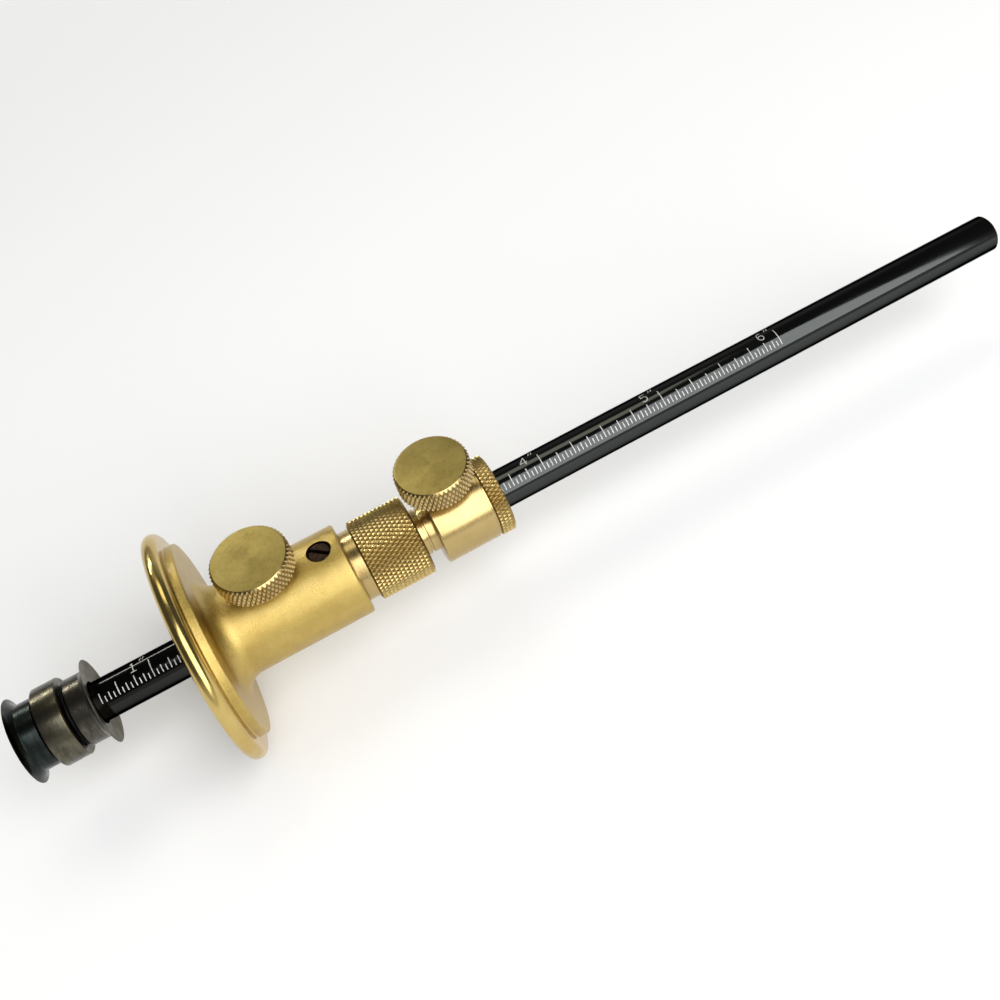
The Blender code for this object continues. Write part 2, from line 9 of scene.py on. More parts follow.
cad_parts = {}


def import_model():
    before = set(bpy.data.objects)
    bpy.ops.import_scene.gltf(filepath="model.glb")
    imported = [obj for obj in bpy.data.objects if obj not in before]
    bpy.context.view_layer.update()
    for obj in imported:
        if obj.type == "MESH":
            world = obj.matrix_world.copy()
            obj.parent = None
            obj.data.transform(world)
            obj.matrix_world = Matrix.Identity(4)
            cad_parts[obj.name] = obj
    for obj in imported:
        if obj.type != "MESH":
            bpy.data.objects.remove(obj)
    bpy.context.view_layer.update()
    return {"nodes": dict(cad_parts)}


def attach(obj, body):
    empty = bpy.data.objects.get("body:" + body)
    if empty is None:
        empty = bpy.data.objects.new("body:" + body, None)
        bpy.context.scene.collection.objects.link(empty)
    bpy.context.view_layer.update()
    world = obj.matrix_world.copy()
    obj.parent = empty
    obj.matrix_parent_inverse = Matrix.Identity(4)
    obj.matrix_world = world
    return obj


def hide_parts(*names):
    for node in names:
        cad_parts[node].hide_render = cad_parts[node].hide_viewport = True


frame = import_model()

MM = 0.001
INCH = 25.4

# Sizes are in millimetres. A station is a distance along the rod, from the zero of its rule.
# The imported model's origin is on the floor under the middle station, and the fence's rim stands on the floor.
FENCE_RADIUS = 21.72
AXIS_HEIGHT = FENCE_RADIUS
MIDDLE_STATION = 101.55

# Radii, as in the CAD source
ROD_RADIUS = 3.67
BORE_RADIUS = 3.82
SPIGOT_RADIUS = 2.5
SPIGOT_BORE_RADIUS = 2.65
SCREW_HOLE_RADIUS = 1.65
WHEEL_RADIUS = 7.83
BOSS_RADIUS = 6.15
SPACER_RADIUS = 7.22
SHIM_RADIUS = 5.7
STEP_RADIUS = 18.4
HUB_RADIUS = 8.64
THIMBLE_RADIUS = 7.65
THIMBLE_SPIGOT_RADIUS = 6.6
NECK_RADIUS = 4.4
COLLAR_RADIUS = 7.38
COLLAR_BAND_RADIUS = 7.51
FENCE_SCREW_RADIUS = 7.07
COLLAR_SCREW_RADIUS = 6.87
SHANK_RADIUS = 2.5
SHANK_BORE_RADIUS = 2.65
KEEPER_RADIUS = 2.0

# The wheels, in depths from the sharp face
DISH_DEPTH = 0.65
FLARE_DEPTH = 1.2
WHEEL_DEPTH = 4.25

# The screws that stand on the rod
FENCE_SCREW_STATION = 48.63
KEEPER_STATION = 59.3
COLLAR_SCREW_STATION = 82.82
KEEPER_SLOT_ANGLE = 48

# Knurling, and the segments of what is turned
KNURL_DEPTH = 0.28
KNURL_ROW = 0.8
BAND_TEETH = 57
SMOOTH_SEGMENTS = 192
FENCE_SEGMENTS = 256
SMALL_SEGMENTS = 64
CUT_SEGMENTS = 48


# Shapes

def arc(centre, radius, start, end, steps):
    """Points of a round stretch of an outline, as (station, radius), from one angle to another."""
    points = []
    for step in range(steps + 1):
        angle = math.radians(start + (end - start) * step / steps)
        points.append((centre[0] + radius * math.cos(angle), centre[1] + radius * math.sin(angle)))
    return points


def hollow(first, middle, last, steps=8):
    """A hollow-ground stretch of an outline through a middle point, without its first point."""
    points = []
    for step in range(1, steps + 1):
        share = step / steps
        pair = []
        for a, b, c in zip(first, middle, last):
            pull = 2 * b - (a + c) / 2
            pair.append((1 - share) ** 2 * a + 2 * share * (1 - share) * pull + share ** 2 * c)
        points.append(tuple(pair))
    return points


def softened(outline, size):
    """The outline with each sharp corner rounded over."""
    nearly_straight = 155
    result = [outline[0]]
    for before, corner, after in zip(outline, outline[1:], outline[2:]):
        back = Vector(before) - Vector(corner)
        on = Vector(after) - Vector(corner)
        if min(back.length, on.length) < 1e-6 or math.degrees(back.angle(on)) > nearly_straight:
            result.append(corner)
            continue
        start = Vector(corner) + back.normalized() * min(size, 0.4 * back.length)
        end = Vector(corner) + on.normalized() * min(size, 0.4 * on.length)
        for share in (0, 0.33, 0.67, 1):
            point = (1 - share) ** 2 * start + 2 * share * (1 - share) * Vector(corner) + share ** 2 * end
            result.append(tuple(point))
    result.append(outline[-1])
    return result


def ring_of(bm, station, radius, count, phase=0.0):
    """One ring of vertices round the X axis, or the single vertex on the axis."""
    if radius < 1e-6:
        return [bm.verts.new((station, 0, 0))]
    ring = []
    for index in range(count):
        angle = 2 * math.pi * (index + phase) / count
        ring.append(bm.verts.new((station, radius * math.sin(angle), radius * math.cos(angle))))
    return ring


def skin(bm, first, last):
    """Faces between two rings of alike count, or between a ring and a vertex on the axis."""
    count = max(len(first), len(last))
    for index in range(count):
        after = (index + 1) % count
        if len(first) == 1:
            bm.faces.new((first[0], last[after], last[index]))
        elif len(last) == 1:
            bm.faces.new((first[index], first[after], last[0]))
        else:
            bm.faces.new((first[index], first[after], last[after], last[index]))


def turn(bm, outline, count=SMOOTH_SEGMENTS):
    """A turned shell. An outline that starts off the axis is closed on itself."""
    first = ring_of(bm, *outline[0], count)
    last = first
    for station, radius in outline[1:]:
        ring = ring_of(bm, station, radius, count)
        skin(bm, last, ring)
        last = ring
    if outline[0][1] > 1e-6:
        skin(bm, last, first)


def crown(bm, plain, roots, crests):
    """A chamfer that runs out into a knurled edge: three faces a tooth."""
    count = len(plain)
    for index in range(count):
        after = (index + 1) % count
        bm.faces.new((plain[index], roots[index], crests[index]))
        bm.faces.new((plain[index], crests[index], plain[after]))
        bm.faces.new((plain[after], crests[index], roots[after]))


def knurl(bm, before, start, end, crest, after, count):
    """A shell with diamond knurling between two stations, and plain outlines before and after it."""
    last = None
    for station, radius in before:
        ring = ring_of(bm, station, radius, count)
        if last:
            skin(bm, last, ring)
        else:
            first = ring
        last = ring
    rows = max(2, round((end - start) / KNURL_ROW))
    roots = []
    crests = []
    for row in range(rows + 1):
        station = start + (end - start) * row / rows
        phase = 0.5 * (row % 2)
        roots.append(ring_of(bm, station, crest - KNURL_DEPTH, count, phase))
        crests.append(ring_of(bm, station, crest, count, phase + 0.5))
    crown(bm, last, roots[0], crests[0])
    for row in range(rows + 1):
        for index in range(count):
            low = roots[row][index]
            high = roots[row][(index + 1) % count]
            tip = crests[row][index]
            beside = (index + row % 2) % count
            if row > 0:
                bm.faces.new((low, roots[row - 1][beside], tip))
                bm.faces.new((roots[row - 1][beside], high, tip))
            if row < rows:
                bm.faces.new((low, tip, roots[row + 1][beside]))
                bm.faces.new((tip, high, roots[row + 1][beside]))
    phase = 0.5 * (rows % 2)
    for position, (station, radius) in enumerate(after):
        ring = ring_of(bm, station, radius, count, phase)
        if position == 0:
            crown(bm, ring, roots[-1], crests[-1])
        else:
            skin(bm, last, ring)
        last = ring
    if before[0][1] > 1e-6:
        skin(bm, last, first)


def knurled_band(bm, start, end, crest, chamfer, edge, inside):
    """A knurled shell with a chamfer at both ends, from its first inside radius round to its last."""
    foot = crest - KNURL_DEPTH - chamfer
    before = [(start, inside[0]), (start, foot - 0.1), (start + edge, foot)]
    after = [(end - edge, foot), (end, foot - 0.1), (end, inside[1])]
    knurl(bm, before, start + chamfer, end - chamfer, crest, after, BAND_TEETH)


def on_rod(station=0.0):
    """The place of a piece that is turned round the rod's axis."""
    return Matrix.Translation(((station - MIDDLE_STATION) * MM, 0, AXIS_HEIGHT * MM)) @ Matrix.Scale(MM, 4)


def stood_up(station):
    """The place of a screw that stands on the rod, its own axis upwards."""
    return on_rod(station) @ Matrix.Rotation(-math.pi / 2, 4, "Y")


def finished(name, bm, place, body, materials, replaced=(), zone=None, sharp=30):
    """The shells in bm as one piece of the scene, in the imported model's frame.

    zone gives the material of a face from the station and the radius of its middle.
    """
    bmesh.ops.recalc_face_normals(bm, faces=bm.faces)
    if zone:
        for face in bm.faces:
            middle = face.calc_center_median()
            face.material_index = zone(middle.x, math.hypot(middle.y, middle.z))
    bm.transform(place)
    mesh = bpy.data.meshes.new(name)
    bm.to_mesh(mesh)
    bm.free()
    mesh.shade_smooth()
    mesh.set_sharp_from_angle(angle=math.radians(sharp))
    piece = bpy.data.objects.new(name, mesh)
    bpy.context.scene.collection.objects.link(piece)
    for material in materials:
        mesh.materials.append(material)
    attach(piece, body)
    if replaced:
        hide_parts(*replaced)
    return piece


def bored(piece, cutters):
    """Take the cutters' shapes out of a piece, for good."""
    for cutter in cutters:
        boolean = piece.modifiers.new("bore", "BOOLEAN")
        boolean.operation = "DIFFERENCE"
        boolean.solver = "EXACT"
        boolean.object = cutter
    bpy.context.view_layer.update()
    graph = bpy.context.evaluated_depsgraph_get()
    mesh = bpy.data.meshes.new_from_object(piece.evaluated_get(graph))
    piece.modifiers.clear()
    piece.data = mesh
    mesh.shade_smooth()
    mesh.set_sharp_from_angle(angle=math.radians(30))
    for cutter in cutters:
        bpy.data.objects.remove(cutter, do_unlink=True)


def cutter_of(bm, place):
    """The shape in bm as an object that is only used to cut with."""
    bm.transform(place)
    mesh = bpy.data.meshes.new("cutter")
    bm.to_mesh(mesh)
    bm.free()
    cutter = bpy.data.objects.new("cutter", mesh)
    bpy.context.scene.collection.objects.link(cutter)
    return cutter


def turned_cutter(outline, place):
    """A turned shape to cut with."""
    bm = bmesh.new()
    turn(bm, outline, CUT_SEGMENTS)
    bmesh.ops.recalc_face_normals(bm, faces=bm.faces)
    return cutter_of(bm, place)


def block_cutter(size, place):
    """A block to cut with."""
    bm = bmesh.new()
    bmesh.ops.create_cube(bm, size=1)
    return cutter_of(bm, place @ Matrix.Diagonal((*size, 1)))


# Finishes

class Finish:
    """A material's node tree, with the few nodes that the finishes share."""

    def __init__(self, name, metallic, roughness, colour):
        self.material = bpy.data.materials.new(name)
        self.material.use_nodes = True
        self.tree = self.material.node_tree
        self.shader = self.tree.nodes["Principled BSDF"]
        self.shader.inputs["Metallic"].default_value = metallic
        self.shader.inputs["Roughness"].default_value = roughness
        self.shader.inputs["Base Color"].default_value = (*colour, 1)
        self.shader.inputs["IOR"].default_value = 1.5
        self.normal = None
        coordinates = self.node("ShaderNodeTexCoord")
        self.place = self.vector("SCALE", coordinates.outputs["Object"], scale=1 / MM)

    def node(self, kind, **settings):
        """A new node with its settings."""
        made = self.tree.nodes.new(kind)
        for key, value in settings.items():
            setattr(made, key, value)
        return made

    def put(self, socket, value):
        """Link an output to a socket, or set the socket to a plain value."""
        if isinstance(value, bpy.types.NodeSocket):
            self.tree.links.new(value, socket)
        else:
            socket.default_value = value

    def vector(self, operation, first, second=None, scale=None):
        """A sum on vectors."""
        made = self.node("ShaderNodeVectorMath", operation=operation)
        self.put(made.inputs[0], first)
        if second is not None:
            self.put(made.inputs[1], second)
        if scale is not None:
            made.inputs["Scale"].default_value = scale
        return made.outputs["Value"] if operation == "LENGTH" else made.outputs["Vector"]

    def maths(self, operation, first, second):
        """A sum on numbers."""
        made = self.node("ShaderNodeMath", operation=operation)
        self.put(made.inputs[0], first)
        self.put(made.inputs[1], second)
        return made.outputs[0]

    def span(self, value, low, high, to_low=0.0, to_high=1.0, smooth=False):
        """The value with one range turned into another, and held at its ends."""
        made = self.node("ShaderNodeMapRange", interpolation_type="SMOOTHSTEP" if smooth else "LINEAR")
        self.put(made.inputs["Value"], value)
        made.inputs["From Min"].default_value = low
        made.inputs["From Max"].default_value = high
        made.inputs["To Min"].default_value = to_low
        made.inputs["To Max"].default_value = to_high
        return made.outputs["Result"]

    def noise(self, place, scale, detail=3.0, roughness=0.55):
        """Noise with so many bumps to the millimetre."""
        made = self.node("ShaderNodeTexNoise")
        self.put(made.inputs["Vector"], place)
        made.inputs["Scale"].default_value = scale
        made.inputs["Detail"].default_value = detail
        made.inputs["Roughness"].default_value = roughness
        return made.outputs["Fac"]

    def mix(self, share, first, second):
        """A blend of two colours, through the node's colour sockets."""
        made = self.node("ShaderNodeMix", data_type="RGBA")
        self.put(made.inputs[0], share)
        self.put(made.inputs[6], first if isinstance(first, bpy.types.NodeSocket) else (*first, 1))
        self.put(made.inputs[7], second if isinstance(second, bpy.types.NodeSocket) else (*second, 1))
        return made.outputs[2]

    def bump(self, height, distance):
        """Relief of a given depth in millimetres, on top of what is there."""
        made = self.node("ShaderNodeBump")
        made.inputs["Strength"].default_value = 1.0
        made.inputs["Distance"].default_value = distance * MM
        self.put(made.inputs["Height"], height)
        if self.normal:
            self.put(made.inputs["Normal"], self.normal)
        self.normal = made.outputs["Normal"]
        self.put(self.shader.inputs["Normal"], self.normal)

    def about_rod(self):
        """Station along the rod's axis, and distance from it, in millimetres."""
        shifted = self.vector("ADD", self.place, (MIDDLE_STATION, 0, -AXIS_HEIGHT))
        across = self.vector("LENGTH", self.vector("MULTIPLY", shifted, (0, 1, 1)))
        parts = self.node("ShaderNodeSeparateXYZ")
        self.put(parts.inputs[0], shifted)
        return parts.outputs["X"], across

    def about_screw(self, station):
        """Height over the floor, and distance from a screw's axis, in millimetres."""
        shifted = self.vector("ADD", self.place, (MIDDLE_STATION - station, 0, 0))
        across = self.vector("LENGTH", self.vector("MULTIPLY", shifted, (1, 1, 0)))
        parts = self.node("ShaderNodeSeparateXYZ")
        self.put(parts.inputs[0], shifted)
        return parts.outputs["Z"], across

    def rings(self, station, across, depth, along_scale=9.0, across_scale=9.0):
        """Fine turning marks, which run round the axis."""
        together = self.node("ShaderNodeCombineXYZ")
        self.put(together.inputs["X"], self.maths("MULTIPLY", station, along_scale))
        self.put(together.inputs["Y"], self.maths("MULTIPLY", across, across_scale))
        marks = self.noise(together.outputs[0], 1.0, detail=2.0, roughness=0.6)
        self.bump(marks, depth)
        return marks


def satin_brass():
    """The bead-blasted brass of the fence's hub and disc: an even, fine grain."""
    f = Finish("fence_satin_brass", 1.0, 0.3, (0.58, 0.42, 0.135))
    f.shader.inputs["Specular Tint"].default_value = (0.8, 0.72, 0.6, 1)
    f.shader.inputs["Coat Weight"].default_value = 0.5
    f.shader.inputs["Coat Roughness"].default_value = 0.27
    grain = f.noise(f.place, 3.4, detail=5.0, roughness=0.75)
    cloud = f.noise(f.place, 0.35, detail=3.0)
    speck = f.span(f.noise(f.place, 2.4, detail=2.0), 0.62, 0.72)
    tone = f.mix(f.span(cloud, 0.35, 0.7), (0.53, 0.385, 0.105), (0.47, 0.33, 0.082))
    tone = f.mix(f.maths("MULTIPLY", speck, 0.35), tone, (0.38, 0.24, 0.06))
    f.put(f.shader.inputs["Base Color"], tone)
    f.put(f.shader.inputs["Roughness"], f.span(grain, 0.3, 0.7, 0.24, 0.38))
    f.bump(grain, 0.09)
    return f.material


def polished_brass(name, colour, dark, roughness, ring_depth):
    """Turned and polished brass round the rod's axis."""
    f = Finish(name, 1.0, roughness, colour)
    f.shader.inputs["Specular Tint"].default_value = (0.85, 0.78, 0.66, 1)
    f.shader.inputs["Coat Weight"].default_value = 0.5
    f.shader.inputs["Coat Roughness"].default_value = 0.16
    station, across = f.about_rod()
    cloud = f.noise(f.place, 0.3, detail=2.0)
    marks = f.rings(station, across, ring_depth)
    tone = f.mix(f.span(cloud, 0.3, 0.75, 0.0, 0.6), colour, dark)
    tone = f.mix(f.span(marks, 0.55, 0.8, 0.0, 0.3), tone, dark)
    f.put(f.shader.inputs["Base Color"], tone)
    f.put(f.shader.inputs["Roughness"], f.span(marks, 0.3, 0.7, roughness * 0.85, roughness * 1.2))
    return f.material


def knurled_brass(name, crest, bright, dark, screw=None):
    """Knurled brass round the rod or round a screw at a station: bright worn crests, and grooves darkened with
    painted shade and grime.
    """
    f = Finish(name, 1.0, 0.24, bright)
    across = (f.about_screw(screw) if screw else f.about_rod())[1]
    height = f.span(across, crest - KNURL_DEPTH, crest - 0.04, smooth=True)
    cloud = f.noise(f.place, 1.1, detail=3.0)
    fine = f.noise(f.place, 9.0, detail=2.0)
    share = f.maths("ADD", height, f.span(cloud, 0.3, 0.7, -0.22, 0.12))
    # the dark colour fills the knurl's grooves: painted shade there, with grime
    tone = f.mix(f.span(share, 0.0, 0.8), dark, bright)
    f.put(f.shader.inputs["Base Color"], tone)
    f.put(f.shader.inputs["Roughness"], f.span(height, 0.0, 1.0, 0.46, 0.24))
    f.bump(fine, 0.008)
    return f.material


def faced_brass(name, station):
    """The lathe-faced top of a thumb screw: fine rings, a softly crossed sheen and small stains."""
    f = Finish(name, 1.0, 0.42, (0.55, 0.42, 0.14))
    height, across = f.about_screw(station)
    f.shader.inputs["Anisotropic"].default_value = 0.35
    tangent = f.node("ShaderNodeTangent", direction_type="RADIAL", axis="Z")
    f.put(f.shader.inputs["Tangent"], tangent.outputs[0])
    marks = f.rings(height, across, 0.011, 0.5, 4.5)
    cloud = f.noise(f.place, 0.5, detail=4.0, roughness=0.6)
    stain = f.noise(f.place, 1.7, detail=4.0, roughness=0.65)
    tone = f.mix(f.span(cloud, 0.3, 0.7), (0.4, 0.315, 0.105), (0.31, 0.24, 0.075))
    tone = f.mix(f.span(marks, 0.5, 0.85, 0.0, 0.5), tone, (0.24, 0.185, 0.056))
    tone = f.mix(f.span(stain, 0.55, 0.72, 0.0, 0.5), tone, (0.21, 0.165, 0.055))
    f.put(f.shader.inputs["Base Color"], tone)
    f.put(f.shader.inputs["Roughness"], f.span(stain, 0.3, 0.75, 0.4, 0.54))
    return f.material


def black_steel():
    """The rod's blued steel: near black, glossy, with a few faint handling marks, and painted shade that
    darkens it towards the wheels.
    """
    f = Finish("rod_black_oxide", 1.0, 0.09, (0.05, 0.052, 0.05))
    f.shader.inputs["Specular Tint"].default_value = (0.22, 0.22, 0.22, 1)
    station, across = f.about_rod()
    drawn = f.vector("MULTIPLY", f.place, (0.06, 1.3, 1.3))
    haze = f.noise(drawn, 1.0, detail=4.0)
    mark = f.noise(f.place, 1.4, detail=5.0, roughness=0.7)
    # painted shade: the rod is darker from station 70 down to station 20, by the fence and the wheels
    tone = f.mix(f.span(station, 20, 70, smooth=True), (0.027, 0.027, 0.026), (0.05, 0.053, 0.052))
    tone = f.mix(f.span(mark, 0.6, 0.8, 0.0, 0.5), tone, (0.07, 0.072, 0.072))
    f.put(f.shader.inputs["Base Color"], tone)
    f.put(f.shader.inputs["Roughness"], f.span(haze, 0.3, 0.7, 0.07, 0.15))
    f.rings(station, across, 0.0012, 6.0, 1.0)
    return f.material


def tool_steel(name, light, dark, roughness):
    """Ground steel with round tool marks and streaks of heat colour."""
    f = Finish(name, 1.0, roughness, light)
    station, across = f.about_rod()
    marks = f.rings(station, across, 0.006, 8.0, 8.0)
    stretched = f.vector("MULTIPLY", f.place, (0.9, 0.35, 0.35))
    cloud = f.noise(stretched, 1.0, detail=4.0, roughness=0.6)
    tone = f.mix(f.span(cloud, 0.35, 0.68), light, dark)
    tone = f.mix(f.span(marks, 0.5, 0.8, 0.0, 0.5), tone, dark)
    f.put(f.shader.inputs["Base Color"], tone)
    f.put(f.shader.inputs["Roughness"], f.span(cloud, 0.3, 0.7, roughness * 0.8, roughness * 1.4))
    return f.material


def dark_screw(name, light, dark, roughness):
    """A small dark screw, rubbed bare in places."""
    f = Finish(name, 1.0, roughness, light)
    cloud = f.noise(f.place, 1.6, detail=4.0, roughness=0.65)
    f.put(f.shader.inputs["Base Color"], f.mix(f.span(cloud, 0.35, 0.65), light, dark))
    f.put(f.shader.inputs["Roughness"], f.span(cloud, 0.3, 0.7, roughness * 0.8, roughness * 1.3))
    f.bump(cloud, 0.02)
    return f.material


def engraving():
    """The rule's lines and numbers: pale bare metal in the black, slightly uneven."""
    f = Finish("rule_silver", 0.35, 0.5, (0.72, 0.72, 0.7))
    wear = f.noise(f.place, 3.0, detail=4.0)
    tone = f.mix(f.span(wear, 0.4, 0.72), (0.58, 0.58, 0.56), (0.32, 0.32, 0.31))
    f.put(f.shader.inputs["Base Color"], tone)
    return f.material


# The pieces

def rod(material):
    """The rod: plain end, shoulder, spigot for the wheels, and the cutter screw's hole."""
    spigot_end = 4.02
    shoulder = 13.6
    plain_end = 202.0
    outline = [
        (13.2, 0),
        (12.0, SCREW_HOLE_RADIUS),
        (spigot_end, SCREW_HOLE_RADIUS),
        (spigot_end, SPIGOT_RADIUS - 0.2),
        (spigot_end + 0.2, SPIGOT_RADIUS),
        (shoulder, SPIGOT_RADIUS),
        (shoulder, ROD_RADIUS - 0.25),
        (shoulder + 0.25, ROD_RADIUS),
    ]
    outline += [(station, ROD_RADIUS) for station in (50, 100, 150)]
    outline += [(plain_end - 0.5, ROD_RADIUS), (plain_end, ROD_RADIUS - 0.5), (plain_end, 0)]
    bm = bmesh.new()
    turn(bm, softened(outline, 0.12))
    finished("rod_turned", bm, on_rod(), "beam", [material], ["beam_rod"])


def wheel(name, node, face, side, bore, materials):
    """A cutter wheel: hollow-ground sharp face, flared edge, plain boss.

    side is 1 where the depth grows along the rod, or -1. bore is the outline inside, from the face on.
    """
    dish_edge = (0, WHEEL_RADIUS - 0.1)
    start = bore[0]
    middle = (start[0] + (dish_edge[0] - start[0]) * 0.28, (start[1] + dish_edge[1]) / 2)
    section = list(reversed(bore[1:])) + [start]
    section += hollow(start, middle, dish_edge)
    rim_back = (0.1, WHEEL_RADIUS)
    section += [(0.03, WHEEL_RADIUS), rim_back]
    section += hollow(rim_back, (0.42, 6.9), (FLARE_DEPTH, BOSS_RADIUS))
    section += [(WHEEL_DEPTH - 0.2, BOSS_RADIUS), (WHEEL_DEPTH, BOSS_RADIUS - 0.2)]
    outline = [(face + side * depth, radius) for depth, radius in softened(section, 0.05)]
    bm = bmesh.new()
    turn(bm, outline)
    low, high = sorted((face, face + side * FLARE_DEPTH))

    def zone(station, radius):
        return 0 if low <= station <= high or radius > BOSS_RADIUS + 0.05 else 1

    finished(name, bm, on_rod(), "beam", materials, [node], zone, 24)


def spacer(material, shim_material):
    """The sleeve between the two bosses, and the thin shim beside it."""
    near = 5.65
    far = 10.15
    edge = 0.2
    outline = [
        (far, SPIGOT_BORE_RADIUS),
        (near, SPIGOT_BORE_RADIUS),
        (near, SPACER_RADIUS - edge),
        (near + edge, SPACER_RADIUS),
        (far - edge, SPACER_RADIUS),
        (far, SPACER_RADIUS - edge),
    ]
    bm = bmesh.new()
    turn(bm, softened(outline, 0.05))
    finished("spacer_turned", bm, on_rod(), "beam", [material], ["spacer_sleeve"])
    shim_near = 10.45
    shim_far = 10.75
    outline = [
        (shim_far, SPIGOT_BORE_RADIUS),
        (shim_near, SPIGOT_BORE_RADIUS),
        (shim_near, SHIM_RADIUS),
        (shim_far, SHIM_RADIUS),
    ]
    bm = bmesh.new()
    turn(bm, outline)
    finished("shim_turned", bm, on_rod(), "beam", [shim_material], ["shim_washer"])


def fence(polished, satin):
    """The fence: bullnosed rim, stepped disc, filleted hub, with its two screw holes."""
    face = 33.2
    rim = 1.4
    rim_back = face + 2 * rim
    step_back = 37.7
    inner_round = 0.35
    outer_round = 0.3
    fillet = 3.6
    seat = 53.36
    seat_radius = 6.75
    end = 63.26
    outline = [
        (end, seat_radius),
        (seat, seat_radius),
        (seat, BORE_RADIUS),
        (face + 0.4, BORE_RADIUS),
        (face, BORE_RADIUS + 0.4),
        (face, FENCE_RADIUS - rim),
    ]
    outline += arc((face + rim, FENCE_RADIUS - rim), rim, 180, 0, 28)[1:]
    outline += arc((rim_back + inner_round, STEP_RADIUS + inner_round), inner_round, 180, 270, 5)
    outline += arc((step_back - outer_round, STEP_RADIUS - outer_round), outer_round, 90, 0, 5)
    outline += arc((step_back + fillet, HUB_RADIUS + fillet), fillet, 180, 270, 18)
    outline += [(station, HUB_RADIUS) for station in (44, 46, 48.6, 51, 53.5, 56, 57.5, 59.3, 61)]
    outline += [(end - 0.3, HUB_RADIUS), (end, HUB_RADIUS - 0.3)]
    bm = bmesh.new()
    turn(bm, softened(outline, 0.12), FENCE_SEGMENTS)

    def zone(station, radius):
        return 0 if radius > STEP_RADIUS + 0.15 else 1

    body = finished("fence_turned", bm, on_rod(), "fence", [polished, satin], ["fence_body"], zone)
    over_hub = 10.6
    hole = [(0, 0), (0, SHANK_BORE_RADIUS), (over_hub, SHANK_BORE_RADIUS), (over_hub, 0)]
    keeper_hole = [(0, 0), (0, 2.2), (8.5, 2.2), (HUB_RADIUS, 2.3), (over_hub, 3.0), (over_hub, 0)]
    bored(body, [
        turned_cutter(hole, stood_up(FENCE_SCREW_STATION)),
        turned_cutter(keeper_hole, stood_up(KEEPER_STATION)),
    ])


def keeper_screw(material):
    """The slotted dog-point screw in the hub."""
    point = 5.9
    shoulder = 6.9
    top = 8.24
    outline = [
        (point, 0),
        (point, 1.15),
        (shoulder, 1.15),
        (shoulder, KEEPER_RADIUS),
        (top - 0.19, KEEPER_RADIUS),
        (top, KEEPER_RADIUS - 0.15),
        (top, 0),
    ]
    bm = bmesh.new()
    turn(bm, softened(outline, 0.05), SMALL_SEGMENTS)
    screw = finished("keeper_screw_slotted", bm, stood_up(KEEPER_STATION), "fence", [material],
                     ["thimble_keeper_screw"])
    turned_round = Matrix.Rotation(math.radians(KEEPER_SLOT_ANGLE), 4, "Z")
    place = on_rod(KEEPER_STATION) @ Matrix.Translation((0, 0, top)) @ turned_round
    bored(screw, [block_cutter((0.75, 6.0, 1.6), place)])


def thimble(turned_material, knurled_material):
    """The knurled thimble and the spigot that runs in the hub."""
    thread_radius = 4.55
    spigot_start = 53.66
    neck_seat = 62.09
    groove = (57.9, 60.7)
    groove_radius = 5.6
    end = 76.0
    head_start = 65.36
    head_end = 76.09
    spigot = [
        (end, 4.85),
        (75.79, thread_radius),
        (neck_seat, thread_radius),
        (neck_seat, BORE_RADIUS),
        (spigot_start, BORE_RADIUS),
        (spigot_start, THIMBLE_SPIGOT_RADIUS - 0.4),
        (spigot_start + 0.4, THIMBLE_SPIGOT_RADIUS),
        (groove[0], THIMBLE_SPIGOT_RADIUS),
        (groove[0], groove_radius),
        (groove[1], groove_radius),
        (groove[1], THIMBLE_SPIGOT_RADIUS),
        (end, THIMBLE_SPIGOT_RADIUS),
    ]
    bm = bmesh.new()
    turn(bm, softened(spigot, 0.08))
    knurled_band(bm, head_start, head_end, THIMBLE_RADIUS, 0.36, 0.04, (4.6, 4.85))

    def zone(station, radius):
        return 1 if radius > THIMBLE_SPIGOT_RADIUS + 0.05 else 0

    finished("thimble_knurled", bm, on_rod(), "thimble", [turned_material, knurled_material],
             ["adjuster_thimble"], zone)


def collar(turned_material, knurled_material):
    """The collar: plain neck with a relief groove, plain barrel, knurled band at its end."""
    neck_end = 66.28
    undercut = (77.05, 77.5)
    barrel_start = 78.88
    barrel_round = 0.4
    barrel_end = 89.23
    band_start = 89.57
    band_end = 92.52
    inner_end = 92.4
    outline = [
        (inner_end, BORE_RADIUS),
        (neck_end, BORE_RADIUS),
        (neck_end, NECK_RADIUS - 0.3),
        (neck_end + 0.3, NECK_RADIUS),
        (undercut[0], NECK_RADIUS),
        (undercut[0], NECK_RADIUS - 0.3),
        (undercut[1], NECK_RADIUS - 0.3),
        (undercut[1], NECK_RADIUS),
        (78.6, NECK_RADIUS),
        (barrel_start, NECK_RADIUS),
        (barrel_start, COLLAR_RADIUS - barrel_round),
    ]
    outline += arc((barrel_start + barrel_round, COLLAR_RADIUS - barrel_round), barrel_round, 180, 90, 6)[1:]
    outline += [
        (84.0, COLLAR_RADIUS),
        (barrel_end, COLLAR_RADIUS),
        (barrel_end, COLLAR_RADIUS - 0.5),
        (inner_end, COLLAR_RADIUS - 0.5),
    ]
    bm = bmesh.new()
    turn(bm, softened(outline, 0.07))
    knurled_band(bm, band_start, band_end, COLLAR_BAND_RADIUS, 0.3, 0.03, (4.2, BORE_RADIUS))

    def zone(station, radius):
        return 1 if station > band_start - 0.07 and radius > COLLAR_RADIUS - 0.48 else 0

    finished("collar_turned", bm, on_rod(), "collar", [turned_material, knurled_material],
             ["locking_collar"], zone)


